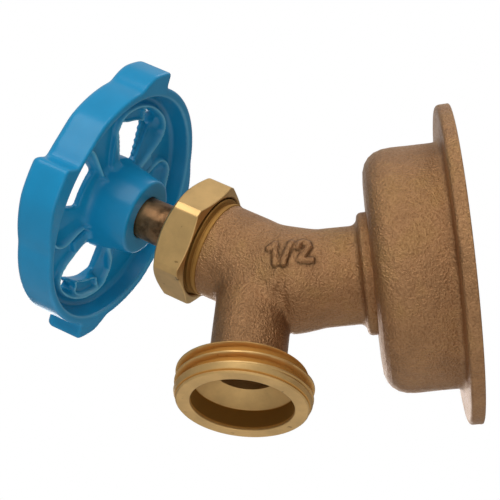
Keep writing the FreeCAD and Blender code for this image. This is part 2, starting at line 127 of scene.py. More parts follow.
def meet(a, b, rounding):
    """Field of what two fields share, its edge rounded: the larger, or near the edge a circle's distance."""
    u = np.maximum(rounding + a, 0)
    w = np.maximum(rounding + b, 0)
    return np.minimum(-rounding, np.maximum(a, b)) + np.sqrt(u * u + w * w)


def join(a, b, rounding):
    """Field of two fields together with a fillet: the smaller, or near the seam a circle's distance."""
    return -meet(-a, -b, rounding)


def pare(a, b, rounding):
    """Field of the first with the second taken out of it, its edge rounded."""
    return meet(a, -b, rounding)


def steps(value, low, high):
    """Smooth rise from 0 at low to 1 at high: 3u^2 - 2u^3 of the clamped share u."""
    u = np.clip((value - low) / (high - low), 0, 1)
    return u * u * (3 - 2 * u)


def wander(x, y, z, wave):
    """Uneven skin between -1 and 1: a sum of sine waves in slanting directions, lengths in mm."""
    k = 2 * math.pi / wave
    return (np.sin(k * (x + 0.6 * y) + 1.3) + np.sin(k * (0.8 * y - 0.5 * z) * 1.37 + 0.4)
            + np.sin(k * (0.7 * z - 0.6 * x) * 1.71 + 2.1) + np.sin(k * (x + y + z) * 0.59 + 4.0)) / 4


def on_wheel(radius, reading):
    """Point of the wheel at a radius and a reading, its angle in degrees from the wheel's -X side
    round by its top: (-radius cos reading, radius sin reading)."""
    turn = np.radians(reading)
    return np.stack([-radius * np.cos(turn), radius * np.sin(turn)], -1)


def run_to(points):
    """Length along a row of points, from the first to each of them."""
    return np.concatenate([[0], np.cumsum(np.linalg.norm(np.diff(points, axis=0), axis=1))])


def outline(path, blur):
    """Closed curve through (radius, reading) points of the wheel: radius and reading run straight
    between them, then the curve is cut into even lengths and averaged over the blur length."""
    path = np.array(path, float)
    path = np.vstack([path, path[:1]])
    share = np.linspace(0, len(path) - 1, 200 * (len(path) - 1) + 1)[:-1]
    radius, reading = (np.interp(share, np.arange(len(path)), path[:, k]) for k in (0, 1))
    return even(on_wheel(radius, reading), blur)


def even(curve, blur, spacing=0.3):
    """Closed curve cut into lengths of about the spacing and averaged with a bell-shaped weight."""
    ring = np.vstack([curve, curve[:1]])
    run = run_to(ring)
    count = int(run[-1] / spacing)
    at = np.linspace(0, run[-1], count, endpoint=False)
    points = np.stack([np.interp(at, run, ring[:, k]) for k in (0, 1)], 1)
    gap = np.minimum(np.arange(count), count - np.arange(count)) * run[-1] / count
    weight = np.exp(-0.5 * (gap / blur) ** 2)
    spectrum = np.fft.fft(weight / weight.sum())[:, None]
    return np.real(np.fft.ifft(np.fft.fft(points, axis=0) * spectrum, axis=0))


def flat_distance(x, y, curve):
    """Signed distance in the plane to a closed curve, negative inside: the least distance to its
    edges, with the sign from how many edges a level line to the right crosses."""
    shape = np.broadcast(x, y).shape
    px, py = (np.broadcast_to(v, shape).reshape(-1).astype(np.float32) for v in (x, y))
    start = curve.astype(np.float32)
    edge = np.roll(start, -1, axis=0) - start
    square = (edge ** 2).sum(1)
    result = []
    for at in np.array_split(np.arange(px.size), max(1, px.size * len(curve) // 4000000)):
        dx = px[at, None] - start[:, 0]
        dy = py[at, None] - start[:, 1]
        share = np.clip((dx * edge[:, 0] + dy * edge[:, 1]) / square, 0, 1)
        least = np.min((dx - share * edge[:, 0]) ** 2 + (dy - share * edge[:, 1]) ** 2, axis=1)
        spans = (dy < 0) != (dy - edge[:, 1] < 0)
        slope = edge[:, 0] / np.where(edge[:, 1] == 0, 1e-9, edge[:, 1])
        crossed = (spans & (dx < dy * slope)).sum(1) % 2
        result.append(np.sqrt(least) * np.where(crossed == 1, -1, 1))
    return np.concatenate(result).reshape(shape)


def chart(curves, spacing=0.16):
    """Least distance to closed curves that repeat after half a turn of the wheel, worked out once
    on a grid and read off between its points."""
    axis = np.arange(-31.0, 31.2, spacing)
    x, y = axis[:, None], axis[None, :]
    table = np.minimum.reduce([flat_distance(x, y, curve) for curve in curves])
    table = np.minimum(table, table[::-1, ::-1])

    def read(x, y):
        u, w = (np.clip((v - axis[0]) / spacing, 0, len(axis) - 1.001) for v in (x, y))
        i, j = u.astype(int), w.astype(int)
        u, w = u - i, w - j
        return ((1 - u) * ((1 - w) * table[i, j] + w * table[i, j + 1])
                + u * ((1 - w) * table[i + 1, j] + w * table[i + 1, j + 1]))

    return read


def net(field, low, high, step):
    """Surface where a field is zero: each grid cell that it passes through gets one point, the mean
    of where it cuts the cell's edges, each cut edge joins its four cells in a face, and two steps
    along the field's slope bring the points onto the surface."""
    axes = [np.arange(a, b + step, step) for a, b in zip(low, high)]
    x, y, z = (axis.reshape([-1 if i == k else 1 for i in range(3)]) for k, axis in enumerate(axes))
    values = np.broadcast_to(field(x, y, z), [len(axis) for axis in axes])
    size = np.array(values.shape) - 1
    cells = int(np.prod(size))
    count = np.zeros(cells)
    total = np.zeros((3, cells))
    faces = []
    for axis in range(3):
        turned = np.moveaxis(values, axis, 0)
        first, second = turned[:-1], turned[1:]
        cut = (first < 0) != (second < 0)
        order = [axis] + [k for k in range(3) if k != axis]
        corner = np.empty((int(cut.sum()), 3), int)
        corner[:, order] = np.argwhere(cut)
        point = corner.astype(float)
        point[:, axis] += first[cut] / (first[cut] - second[cut])
        across, along = (axis + 1) % 3, (axis + 2) % 3
        flats = []
        whole = np.ones(len(corner), bool)
        for back, side in ((1, 1), (0, 1), (0, 0), (1, 0)):
            cell = corner.copy()
            cell[:, across] -= back
            cell[:, along] -= side
            inside = ((cell >= 0) & (cell < size)).all(1)
            flat = np.ravel_multi_index(np.clip(cell, 0, size - 1).T, size)
            count += np.bincount(flat[inside], minlength=cells)
            for k in range(3):
                total[k] += np.bincount(flat[inside], weights=point[inside, k], minlength=cells)
            flats.append(flat)
            whole &= inside
        quads = np.stack(flats, 1)
        leaving = (first[cut] < 0)[:, None]
        faces.append(np.where(leaving, quads, quads[:, ::-1])[whole])
    used = count > 0
    number = np.cumsum(used) - 1
    points = np.array(low)[:, None] + step * total[:, used] / count[used]
    for _ in range(2):
        here, slope = slope_of(field, points)
        move = here * slope / np.maximum((slope ** 2).sum(0), 0.25)
        points = points - np.clip(move, -step / 2, step / 2)
    return points.T, number[np.concatenate(faces)]


def lattice(points):
    """Faces of a grid that closes on itself both ways."""
    rows, columns = points.shape[:2]
    index = np.arange(rows * columns).reshape(rows, columns)
    right, down = np.roll(index, -1, axis=1), np.roll(index, -1, axis=0)
    return np.stack([index, right, np.roll(down, -1, axis=1), down], -1).reshape(-1, 4)


def piece(name, points, faces, made, body, node, layers=None, crease=None):
    """Mesh object from points in millimetres, its faces turned outward by the sign of its volume. It
    rides on the body, takes the finish that it is given and hides the node that it replaces."""
    corners = points[faces]
    volume = np.einsum("ij,ij->", np.cross(corners[:, 0], corners[:, 1]), corners[:, 2])
    volume += np.einsum("ij,ij->", np.cross(corners[:, 0], corners[:, 2]), corners[:, 3])
    if volume < 0:
        faces = faces[:, ::-1]
    mesh = bpy.data.meshes.new(name)
    mesh.from_pydata((points * MM).tolist(), [], faces.tolist())
    for layer, values in (layers or {}).items():
        attribute = mesh.attributes.new(layer, "FLOAT", "POINT")
        attribute.data.foreach_set("value", values.astype(np.float32).ravel())
    mesh.validate()
    mesh.shade_smooth()
    if crease:
        mesh.set_sharp_from_angle(angle=math.radians(crease))
    mesh.materials.append(made)
    thing = bpy.data.objects.new(name, mesh)
    bpy.context.scene.collection.objects.link(thing)
    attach(thing, body)
    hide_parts(node)
    return thing


def rounded(corners, fine):
    """Closed profile from (radius, height, round) corners: each corner gives way to a curve of
    seven points from tangent to tangent, and the straights between are cut at the fine spacing."""
    corners = np.array(corners, float)
    here = corners[:, :2]
    back = np.roll(here, 1, axis=0) - here
    ahead = np.roll(here, -1, axis=0) - here
    back_length, ahead_length = (np.linalg.norm(v, axis=1) for v in (back, ahead))
    back /= back_length[:, None]
    ahead /= ahead_length[:, None]
    half = np.arccos(np.clip((back * ahead).sum(1), -1, 1)) / 2
    reach = np.minimum(corners[:, 2] / np.tan(half), 0.49 * np.minimum(back_length, ahead_length))
    u = np.linspace(0, 1, 7)[:, None, None]
    arcs = (1 - u) ** 2 * (here + back * reach[:, None]) + 2 * u * (1 - u) * here
    arcs = arcs + u ** 2 * (here + ahead * reach[:, None])
    loop = arcs.transpose(1, 0, 2).reshape(-1, 2)
    loop = loop[np.linalg.norm(loop - np.roll(loop, 1, axis=0), axis=1) > 1e-4]
    closed = np.vstack([loop, loop[:1]])
    run = run_to(closed)
    extra = np.concatenate([np.linspace(a, b, int((b - a) / fine) + 2)[:-1] for a, b in zip(run, run[1:])])
    return np.stack([np.interp(extra, run, closed[:, k]) for k in (0, 1)], 1)


def add(tree, kind, inputs=None, stops=(), **settings):
    """Shader node of a kind, with its settings. Each input takes a value or a link from another node's
    socket, and the stops of a colour ramp are (place, linear colour)."""
    node = tree.nodes.new("ShaderNode" + kind)
    for key, value in settings.items():
        setattr(node, key, value)
    for key, value in (inputs or {}).items():
        if isinstance(value, bpy.types.NodeSocket):
            tree.links.new(value, node.inputs[key])
        else:
            node.inputs[key].default_value = value
    for index, (where, tint) in enumerate(stops):
        elements = node.color_ramp.elements
        element = elements[index] if index < len(elements) else elements.new(where)
        element.position = where
        element.color = (*tint, 1)
    return node


def blank(name):
    """New material, its empty node tree and the piece's own coordinates."""
    made = bpy.data.materials.new(name)
    made.use_nodes = True
    tree = made.node_tree
    tree.nodes.clear()
    return made, tree, add(tree, "TexCoord").outputs["Object"]


def finish(made, inputs):
    """Material with its surface shader, whose inputs take values or links."""
    shader = add(made.node_tree, "BsdfPrincipled", inputs)
    add(made.node_tree, "OutputMaterial", {"Surface": shader.outputs[0]})
    return made


def material(name, make, *inputs):
    """Material of that name, made when it is first asked for."""
    return bpy.data.materials.get(name) or make(name, *inputs)


def shade(tint, factor):
    """Colour made lighter or darker by a factor, or by one factor for each channel."""
    return np.minimum(np.array(tint) * factor, 1.0)


def per(size):
    """Scale of a noise whose cells are that many millimetres across."""
    return 1 / (size * MM)


def bronze_material(name, tint):
    """Sand-cast bronze, tumbled: grains 0.4 mm wide that glint one by one, a few pits in cells 3 mm
    across, and patches of about 9 mm a little yellower or browner. A vertex layer darkens the foot
    of the raised mark with painted shade."""
    made, tree, where = blank(name)
    grain = add(tree, "TexNoise", {"Vector": where, "Scale": per(0.4348), "Detail": 3.0, "Roughness": 0.6})
    patch = add(tree, "TexNoise", {"Vector": where, "Scale": per(9.09), "Detail": 5.0, "Roughness": 0.6})
    pits = add(tree, "TexNoise", {"Vector": where, "Scale": per(3.03), "Detail": 2.0, "Roughness": 0.4})
    base = add(tree, "ValToRGB", {"Fac": patch.outputs[0]},
               [(0.32, shade(tint, 0.82)), (0.5, tint), (0.70, shade(tint, (1.03, 1.08, 0.96)))])
    grains = add(tree, "ValToRGB", {"Fac": grain.outputs[0]},
                 [(0.3, linear("DDD7D1")), (0.5, linear("F3F2F1")), (0.7, WHITE)])
    grained = add(tree, "Mix", {"Factor": 0.85, "A": base.outputs[0], "B": grains.outputs[0]},
                  data_type="RGBA", blend_type="MULTIPLY")
    pit = add(tree, "ValToRGB", {"Fac": pits.outputs[0]}, [(0.20, linear("A09081")), (0.26, WHITE)])
    pitted = add(tree, "Mix", {"Factor": 0.8, "A": grained.outputs["Result"], "B": pit.outputs[0]},
                 data_type="RGBA", blend_type="MULTIPLY")
    # Painted shade: the crease round the foot of the raised mark is darkened toward a dark bronze
    crease_shade = add(tree, "Attribute", attribute_name="crease_shade")
    crease_shaded = add(tree, "Mix", {"Factor": crease_shade.outputs["Fac"], "A": pitted.outputs["Result"],
                                "B": (*shade(tint, 0.22), 1)}, data_type="RGBA")
    rough = add(tree, "MapRange", {"Value": grain.outputs[0], "From Min": 0.3, "From Max": 0.7,
                                   "To Min": 0.54, "To Max": 0.32})
    height = add(tree, "Math", {0: grain.outputs[0], 1: pits.outputs[0]}, operation="ADD")
    bump = add(tree, "Bump", {"Height": height.outputs[0], "Strength": 0.9, "Distance": 0.45 * MM})
    return finish(made, {"Base Color": crease_shaded.outputs["Result"], "Metallic": 1.0,
                         "Roughness": rough.outputs[0], "Normal": bump.outputs[0]})


def brass_material(name, tint, axes, roughness, deep=None):
    """Machined brass, satin: turning marks 0.25 mm apart round the axis, dark nicks in cells 2.4 mm
    across and a faint tarnish of 6 mm. With a deep colour, a painted tone of brass lit by its own
    reflections, the piece's groove layer mixes it in and dulls the surface, and where the layer is 1,
    in a bore, that colour is half as bright as painted shade."""
    made, tree, where = blank(name)
    settled = add(tree, "Mapping",
                  {"Vector": where, "Location": Vector(axes[0]) * MM,
                   "Rotation": Matrix(axes[1:].tolist()).transposed().to_euler()}, vector_type="TEXTURE")
    split = add(tree, "SeparateXYZ", {"Vector": settled.outputs[0]})
    turning = add(tree, "TexNoise", {"W": split.outputs["Z"], "Scale": per(0.25), "Detail": 2.0},
                  noise_dimensions="1D")
    tarnish = add(tree, "TexNoise", {"Vector": where, "Scale": per(6.25), "Detail": 5.0, "Roughness": 0.6})
    nicks = add(tree, "TexNoise", {"Vector": where, "Scale": per(2.381), "Detail": 3.0, "Roughness": 0.5})
    base = add(tree, "ValToRGB", {"Fac": tarnish.outputs[0]},
               [(0.35, shade(tint, 0.82)), (0.6, tint), (0.75, shade(tint, 1.06))])
    nick = add(tree, "ValToRGB", {"Fac": nicks.outputs[0]}, [(0.25, linear("816C50")), (0.31, WHITE)])
    surface = add(tree, "Mix", {"Factor": 0.75, "A": base.outputs[0], "B": nick.outputs[0]},
                  data_type="RGBA", blend_type="MULTIPLY").outputs["Result"]
    if deep is not None:
        # Painted light and shade: the deep colour stands for brass lit by its own reflections in a groove,
        # and the bore's half-bright tone is painted shade
        layer = add(tree, "Attribute", attribute_name="groove").outputs["Fac"]
        tones = add(tree, "ValToRGB", {"Fac": layer}, [(0.8, deep), (1.0, shade(deep, 0.5))])
        surface = add(tree, "Mix", {"Factor": layer, "A": surface, "B": tones.outputs[0]},
                      data_type="RGBA").outputs["Result"]
        roughness = add(tree, "MapRange", {"Value": layer, "To Min": roughness, "To Max": 0.8}).outputs[0]
    bump = add(tree, "Bump", {"Height": turning.outputs[0], "Strength": 0.12, "Distance": 0.05 * MM})
    return finish(made, {"Base Color": surface, "Metallic": 1.0, "Roughness": roughness,
                         "Normal": bump.outputs[0]})


def enamel_material(name, tint):
    """Gloss enamel on cast metal: thick, smooth, faintly wavy like orange peel 2.4 mm across, with
    clouds of 8 mm a little deeper in colour. A vertex layer pales it as a painted highlight along the
    crests: on the beads, on the leaves' edges and, less, on the lip of the rim."""
    made, tree, where = blank(name)
    cloud = add(tree, "TexNoise", {"Vector": where, "Scale": per(7.692), "Detail": 3.0, "Roughness": 0.5})
    peel = add(tree, "TexNoise", {"Vector": where, "Scale": per(2.381), "Detail": 1.0})
    coat = add(tree, "ValToRGB", {"Fac": cloud.outputs[0]},
               [(0.3, shade(tint, 0.93)), (0.7, shade(tint, 1.05))])
    # Painted highlight: a pale blue mixed in along crests and edges
    crest_highlight = add(tree, "Attribute", attribute_name="crest_highlight")
    surface = add(tree, "Mix", {"Factor": crest_highlight.outputs["Fac"], "A": coat.outputs[0],
                                "B": (*linear("6FC0DC"), 1)}, data_type="RGBA")
    bump = add(tree, "Bump", {"Height": peel.outputs[0], "Strength": 0.10, "Distance": 0.2 * MM})
    return finish(made, {"Base Color": surface.outputs["Result"], "Roughness": 0.24,
                         "Specular IOR Level": 0.28, "Coat Weight": 0.05, "Coat Roughness": 0.1,
                         "Normal": bump.outputs[0]})


def shaft_material(name, tint):
    """Drawn bronze, dull: mottled brown oxide in blotches 4 mm across with brighter rubbed metal."""
    made, tree, where = blank(name)
    blotch = add(tree, "TexNoise", {"Vector": where, "Scale": per(3.846), "Detail": 5.0, "Roughness": 0.6})
    fine = add(tree, "TexNoise", {"Vector": where, "Scale": per(0.6667), "Detail": 2.0})
    surface = add(tree, "ValToRGB", {"Fac": blotch.outputs[0]},
                  [(0.36, shade(tint, 0.34)), (0.52, tint), (0.68, shade(tint, 1.35))])
    bump = add(tree, "Bump", {"Height": fine.outputs[0], "Strength": 0.2, "Distance": 0.1 * MM})
    return finish(made, {"Base Color": surface.outputs[0], "Metallic": 1.0, "Roughness": 0.36,
                         "Normal": bump.outputs[0]})


def plain_material(name, code, metallic, roughness, size, depth):
    """Small parts that hardly show: one tint that drifts a little, with a grain of that size and
    depth in millimetres."""
    made, tree, where = blank(name)
    drift = add(tree, "TexNoise", {"Vector": where, "Scale": per(size), "Detail": 4.0})
    tint = linear(code)
    surface = add(tree, "ValToRGB", {"Fac": drift.outputs[0]},
                  [(0.3, shade(tint, 0.75)), (0.7, shade(tint, 1.15))])
    bump = add(tree, "Bump", {"Height": drift.outputs[0], "Strength": 0.3, "Distance": depth * MM})
    return finish(made, {"Base Color": surface.outputs[0], "Metallic": metallic, "Roughness": roughness,
                         "Normal": bump.outputs[0]})


def around(profile, count):
    """Turn, radius and height of every point of a profile carried once round an axis."""
    turn = np.linspace(0, 2 * math.pi, count, endpoint=False)[:, None]
    return np.broadcast_arrays(turn, profile[None, :, 0], profile[None, :, 1])


def swept(axes, turn, radius, height):
    """World points from a turn, a radius and a height: (radius cos turn, radius sin turn, height)."""
    return place(axes, radius * np.cos(turn), radius * np.sin(turn), height)


def off_crest(height, turn, pitch):
    """How far a point is from the nearest crest of a helix, in pitches: the height over the pitch,
    less the share of a turn, and then what is left over from the nearest whole number."""
    share = height / pitch - turn / (2 * math.pi)
    return np.abs(share - np.round(share))


def depth_of(height, turn, pitch):
    """Depth of a thread from 0 to 1: a narrow crest, flanks of a smooth step and a flat root."""
    return 1 - steps(-off_crest(height, turn, pitch), -0.30, -0.05)


class BIBB_OT_bell(bpy.types.Operator):
    """Wall flange, bell and inlet hub: one profile carried round the inlet axis, its cast faces
    pushed inward by a sum of slanting sine waves and the hub's bore cut with a V thread"""
    bl_idname = "bibb.bell"
    bl_label = "Bell and Flange"

    def execute(self, context):
        casting = context.scene.bibb_casting
        flange, bell = casting.flange_radius / MM, casting.bell_radius / MM
        # The hub's bore and end, the hollow of the bell, the flange and the bell's shoulder
        profile = rounded([(6.62, 18.2, 0), (6.62, 13.5, 0.2), (10.3, 13.5, 0.2), (10.3, 0, 0.6),
                           (13.4, 0, 0.4), (13.4, 15.7, 0.8), (21.7, 15.7, 3.5), (21.7, 0, 0.3),
                           (flange, 0, 0.35), (flange, 2.8, 1.0), (bell, 2.8, 1.6), (bell, 18.3, 6.1),
                           (9.0, 18.3, 0.1)], 0.55)
        turn, radius, height = around(profile, 288)
        x, y = radius * np.cos(turn), radius * np.sin(turn)
        sink = 0.5 - 0.5 * wander(x, y, height, 9.0) + 0.25 * (1 - wander(x, y, height, 2.3))
        cast = steps(radius, 14, 16) * steps(height, 0.3, 1.2)
        pipe_pitch, pipe_depth = 1.814, 0.55
        bore = (radius < 10.4) * steps(height, 0.3, 0.9) * steps(-height, -12.9, -12.2)
        cut = pipe_depth * (1 - 2 * off_crest(height - 0.8, turn, pipe_pitch)) * bore
        points = swept(INLET, turn, radius - casting.unevenness / MM * sink * cast + cut, height)
        piece("bell_and_flange", points.reshape(-1, 3), lattice(points),
              material("sand_cast_bronze", bronze_material, context.scene.bibb_finish.bronze),
              "valve", "valve_body", crease=40)
        return {"FINISHED"}


# Strokes of the raised size mark, half an inch, as points near the neck's skin, and their half width
MARK = [
    [(9.7, -37.6, 1.45), (9.7, -36.7, 2.1), (9.65, -36.35, 2.35), (9.6, -36.6, -2.0)],
    [(10.25, -33.25, 2.1), (10.4, -34.25, 0.0), (10.05, -35.1, -2.1)],
    [(10.3, -32.15, 1.0), (10.1, -31.75, 1.95), (9.85, -30.85, 2.4), (9.7, -30.15, 1.95), (9.8, -30.0, 1.05),
     (10.1, -30.7, -0.1), (10.15, -31.7, -1.4), (10.1, -31.85, -1.9), (9.6, -29.7, -1.95)],
]
MARK_HALF = 0.7


def slope_of(field, points):
    """Value of a field at points, and its slope from three short steps."""
    here = field(*points)
    step = 0.02
    ahead = [field(*(points + step * np.eye(3)[k][:, None])) for k in range(3)]
    return here, (np.array(ahead) - here) / step


def on_skin(field, stroke):
    """Stroke cut into lengths of about 0.5 mm, its points moved down the field's slope to the skin."""
    stroke = np.array(stroke, float)
    run = run_to(stroke)
    at = np.linspace(0, run[-1], int(run[-1] / 0.5) + 2)
    points = np.array([np.interp(at, run, stroke[:, k]) for k in range(3)])
    for _ in range(6):
        here, slope = slope_of(field, points)
        points = points - here * slope / (slope ** 2).sum(0)
    return points.T


def stroke_distance(x, y, z, strokes):
    """Distance in space to runs of short straight strokes: the least over all of them."""
    least = np.full(np.broadcast(x, y, z).shape, 1e3)
    for points in strokes:
        for start, end in zip(points[:-1], points[1:]):
            along = end - start
            share = np.clip(((x - start[0]) * along[0] + (y - start[1]) * along[1]
                             + (z - start[2]) * along[2]) / (along ** 2).sum(), 0, 1)
            gap = sum((v - s - share * a) ** 2 for v, s, a in zip((x, y, z), start, along))
            least = np.minimum(least, gap)
    return np.sqrt(least)


def from_axes(x, y, z):
    """Distances of a point from the inlet's, stem's and spout's axes, and its heights on the last two."""
    stem_x, stem_y, rise = within(STEM, (x, y, z))
    spout_x, spout_y, up = within(SPOUT, (x, y, z))
    return np.hypot(x, z), np.hypot(stem_x, stem_y), np.hypot(spout_x, spout_y), rise, up


class BIBB_OT_casting(bpy.types.Operator):
    """Neck, chamber, bonnet neck and spout: distance fields of cylinders and a sphere joined with
    fillets, the water way taken out, meshed where the field is zero"""
    bl_idname = "bibb.casting"
    bl_label = "Body Casting"

    def execute(self, context):
        casting = context.scene.bibb_casting
        neck_radius = casting.neck_radius / MM
        rough = casting.unevenness / MM
        sunk = MARK_HALF - casting.mark_height / MM

        def skin(x, y, z):
            level, across, along, rise, up = from_axes(x, y, z)
            neck = np.maximum(level - neck_radius, -34.4 - y)
            bulge = np.sqrt(x ** 2 + (y + 34.0) ** 2 + z ** 2) - 10.1
            bonnet = np.maximum(across - 9.7, -rise)
            spout = np.maximum(along - 7.6, up - 26.75)
            collar = meet(level - 12.2, -20.4 - y, 1.1)
            body = join(join(join(join(neck, bulge, 1.5), bonnet, 2.2), spout, 1.3), collar, 1.4)
            return body + rough * (0.5 + 0.5 * wander(x, y, z, 8.0))

        strokes = [on_skin(lambda x, y, z: skin(x, y, z) + sunk, stroke) for stroke in MARK]

        def field(x, y, z):
            level, across, along, rise, up = from_axes(x, y, z)
            body = skin(x, y, z)
            near = (abs(x - 10) < 3) & (abs(y + 33.5) < 6.5) & (abs(z) < 5) & (abs(body) < 2)
            marked = body.copy()
            mark = stroke_distance(*(np.broadcast_to(v, body.shape)[near] for v in (x, y, z)), strokes)
            marked[near] = join(body[near], mark - MARK_HALF, 0.08)
            for end in (y + 18.0, rise - 16.6, 6.35 - up):
                marked = meet(marked, end, 0.05)
            # The water way: the inlet, the seat's hole, the chamber round the seat, the room for the
            # bonnet's thread and the spout's bore
            inlet = np.maximum(level - 6.6, rise + 6.6)
            seat = np.maximum(across - 4.4, np.maximum(rise + 3.0, -7.6 - rise))
            chamber = np.maximum(across - 7.3, np.maximum(rise - 8.5, -4.8 - rise))
            chamber = np.maximum(chamber, -np.maximum(across - 5.6, rise + 4.0))
            thread = np.maximum(across - 6.92, 7.5 - rise)
            bore = np.minimum(np.maximum(along - 6.1, up - 25.75), np.maximum(along - 7.25, up - 7.5))
            hollow = np.minimum.reduce(np.broadcast_arrays(inlet, seat, chamber, thread, bore))
            return pare(marked, hollow, 0.12)

        points, faces = net(field, (-13.0, -57.0, -28.0), (13.0, -16.8, 19.0), 0.35)
        # Mask for painted shade: near 1 in the crease where the mark's strokes meet the skin
        stroke = stroke_distance(*points.T, strokes) - MARK_HALF
        crease_shade = np.exp(-(stroke / 0.28) ** 2 - (skin(*points.T) / 0.2) ** 2)
        piece("body_casting", points, faces,
              material("sand_cast_bronze", bronze_material, context.scene.bibb_finish.bronze),
              "valve", "valve_body", {"crease_shade": crease_shade})
        return {"FINISHED"}


class BIBB_OT_hose_end(bpy.types.Operator):
    """Hose thread and stepped mouth: a profile carried round the spout axis, its outer radius less the
    thread's depth, so the crests run as a helix and fade out at the mouth's rim"""
    bl_idname = "bibb.hose_end"
    bl_label = "Hose Thread and Mouth"

    def execute(self, context):
        threads = context.scene.bibb_threads
        pitch, depth = threads.hose_pitch / MM, threads.hose_depth / MM
        # The bore with its cone and step, the end face, a turned line, the thread and the root in the spout
        profile = rounded([(6.08, 11.0, 0), (6.08, 7.0, 0.15), (10.0, 4.6, 0.12), (10.0, 0, 0.3),
                           (12.55, 0, 0.12), (12.86, 0.3, 0.1), (12.7, 0.58, 0.08), (13.0, 0.78, 0.1),
                           (13.47, 1.9, 0.3), (13.47, 6.4, 0.3), (7.3, 6.4, 0.5), (7.3, 9.0, 0),
                           (6.6, 9.4, 0), (6.6, 11.0, 0)], 0.13)
        turn, radius, height = around(profile, 288)
        root = depth_of(height - 2.04, turn - math.radians(10), pitch) * steps(height, 1.6, 2.4)
        cut = depth * root * steps(radius, 12.3, 13.0)
        points = swept(SPOUT, turn, radius - cut, height)
        # Painted light: the layer grows toward a thread's root and marks the turned line; 1 in the mouth's
        # bore is painted shade
        ring = np.exp(-((height - 0.6) / 0.16) ** 2) * (radius > 12.3)
        inside = (radius < 10.2) * steps(height, 0.2, 0.9) * steps(-height, -4.6, -4.4)
        groove = np.clip(1.4 * cut / depth + ring, 0, 0.85) * (1 - inside) + inside
        tints = context.scene.bibb_finish
        piece("hose_thread", points.reshape(-1, 3), lattice(points),
              material("turned_brass_spout", brass_material, tints.brass, SPOUT, 0.5, tints.groove),
              "valve", "valve_body", {"groove": groove}, 32)
        return {"FINISHED"}


class BIBB_OT_bonnet_end(bpy.types.Operator):
    """Machined ring and bonnet thread: a profile carried round the stem axis with helical crests"""
    bl_idname = "bibb.bonnet_end"
    bl_label = "Bonnet Thread"

    def execute(self, context):
        pitch = context.scene.bibb_threads.bonnet_pitch / MM
        # The foot on the casting, the machined ring, the thread under the nut and the bore
        profile = rounded([(6.94, 15.8, 0), (8.0, 15.8, 0), (9.3, 16.2, 0), (9.86, 16.45, 0.1),
                           (9.86, 17.1, 0.15), (9.45, 17.3, 0.05), (9.5, 17.6, 0.1), (10.38, 17.9, 0.1),
                           (10.38, 21.9, 0.1), (9.9, 22.4, 0.1), (7.2, 22.4, 0.1), (7.2, 18.4, 0.1),
                           (6.94, 18.4, 0.1)], 0.12)
        turn, radius, height = around(profile, 240)
        cut = 0.75 * depth_of(height - 18.1, turn, pitch) * steps(radius, 10.0, 10.3)
        points = swept(STEM, turn, radius - cut, height)
        # Painted light and shade: the whole piece takes the painted groove tone, darkened to 0.6 of it
        groove = 0.8 + 0.05 * steps(height, 17.0, 17.4)
        tints = context.scene.bibb_finish
        piece("bonnet_thread", points.reshape(-1, 3), lattice(points),
              material("turned_brass_bonnet", brass_material, tints.brass, STEM, 0.38,
                       shade(tints.groove, 0.6)),
              "valve", "valve_body", {"groove": groove}, 32)
        return {"FINISHED"}


class BIBB_OT_nut(bpy.types.Operator):
    """Bonnet nut: for each angle the radius of a hexagon, its corners turned off, and a profile
    whose 30 degree chamfer meets that radius, closed through the threaded hole"""
    bl_idname = "bibb.nut"
    bl_label = "Bonnet Nut"

    def execute(self, context):
        flats = context.scene.bibb_threads.across_flats / MM
        # Radii of the turned corners, the top face, the countersunk foot and the threaded hole
        corner, face, sink, thread = 12.6, 10.2, 10.87, 10.52
        # Heights of the top, the foot and the floor inside
        top, foot, floor = 25.7, 18.3, 23.4
        turn = np.linspace(0, 2 * math.pi, 360, endpoint=False)
        sixth = math.pi / 3
        off = (turn - math.radians(85.6) + sixth / 2) % sixth - sixth / 2
        side = np.minimum(flats / 2 / np.cos(off), corner)
        chamfer = top - (side - face) * math.tan(math.radians(30))
        start = foot + 0.6 * (side - sink) / (corner - sink)
        corners = [(4.75, floor), (4.75, top - 0.2), (4.95, top), (face, top), (side, chamfer),
                   (side, start), (sink, foot), (thread, foot + 0.35), (thread, floor)]
        keys = np.stack([np.stack(np.broadcast_arrays(*corner, side)[:2], -1) for corner in corners], 1)
        ahead = np.roll(keys, -1, axis=1) - keys
        run = np.linalg.norm(ahead, axis=2, keepdims=True)
        bevel = np.minimum(0.1, 0.25 * run) / run
        rows = [keys + ahead * share for share in (bevel, 0.3, 0.5, 0.7, 1 - bevel)]
        profile = np.stack(rows, 2).reshape(len(turn), -1, 2)
        points = swept(STEM, turn[:, None], profile[..., 0], profile[..., 1])
        piece("bonnet_cap_nut", points.reshape(-1, 3), lattice(points),
              material("machined_brass_nut", brass_material, context.scene.bibb_finish.brass, STEM, 0.45),
              "valve", "bonnet_nut", crease=20)
        return {"FINISHED"}


def lobed_outline(rim_radius):
    """Outside of the rim: its radius, or a saw-tooth lobe's where that is larger. A lobe rises straight
    out of a shallow foot, keeps a crest and falls along a parabola through its middle point. Each
    lobe comes again after half a turn."""
    reading = np.arange(0, 360, 0.25)
    radius = np.full_like(reading, rim_radius)
    # Each lobe's reading, top radius, the degrees that it rises and keeps its crest, the crest's drop,
    # its whole span and the depth of its foot. Its ends lie at the seam, inside the rim.
    seam = 24.85
    for first, top, rise, crest, drop, span, foot in ((126, 29.45, 1.2, 11.5, 0.9, 25, 0.0),
                                                      (20, 29.3, 3.2, 15.8, 0.4, 50, 0.7)):
        crest_end = rise + crest
        fall = np.polyfit([crest_end, (crest_end + span) / 2, span],
                          [top - drop, rim_radius + 0.3 * (top - rim_radius), seam], 2)
        for start in (first, first + 180):
            radius = radius - foot * (1 - steps((start - reading) % 360, 10, 24))
            off = (reading - start) % 360
            crown = np.where(off < crest_end, top - drop * (off - rise) / crest, np.polyval(fall, off))
            height = np.where(off < rise, seam + (top - seam) * off / rise, crown)
            radius = np.where(off < span, np.maximum(radius, height), radius)
    return even(on_wheel(radius, reading), 0.65)


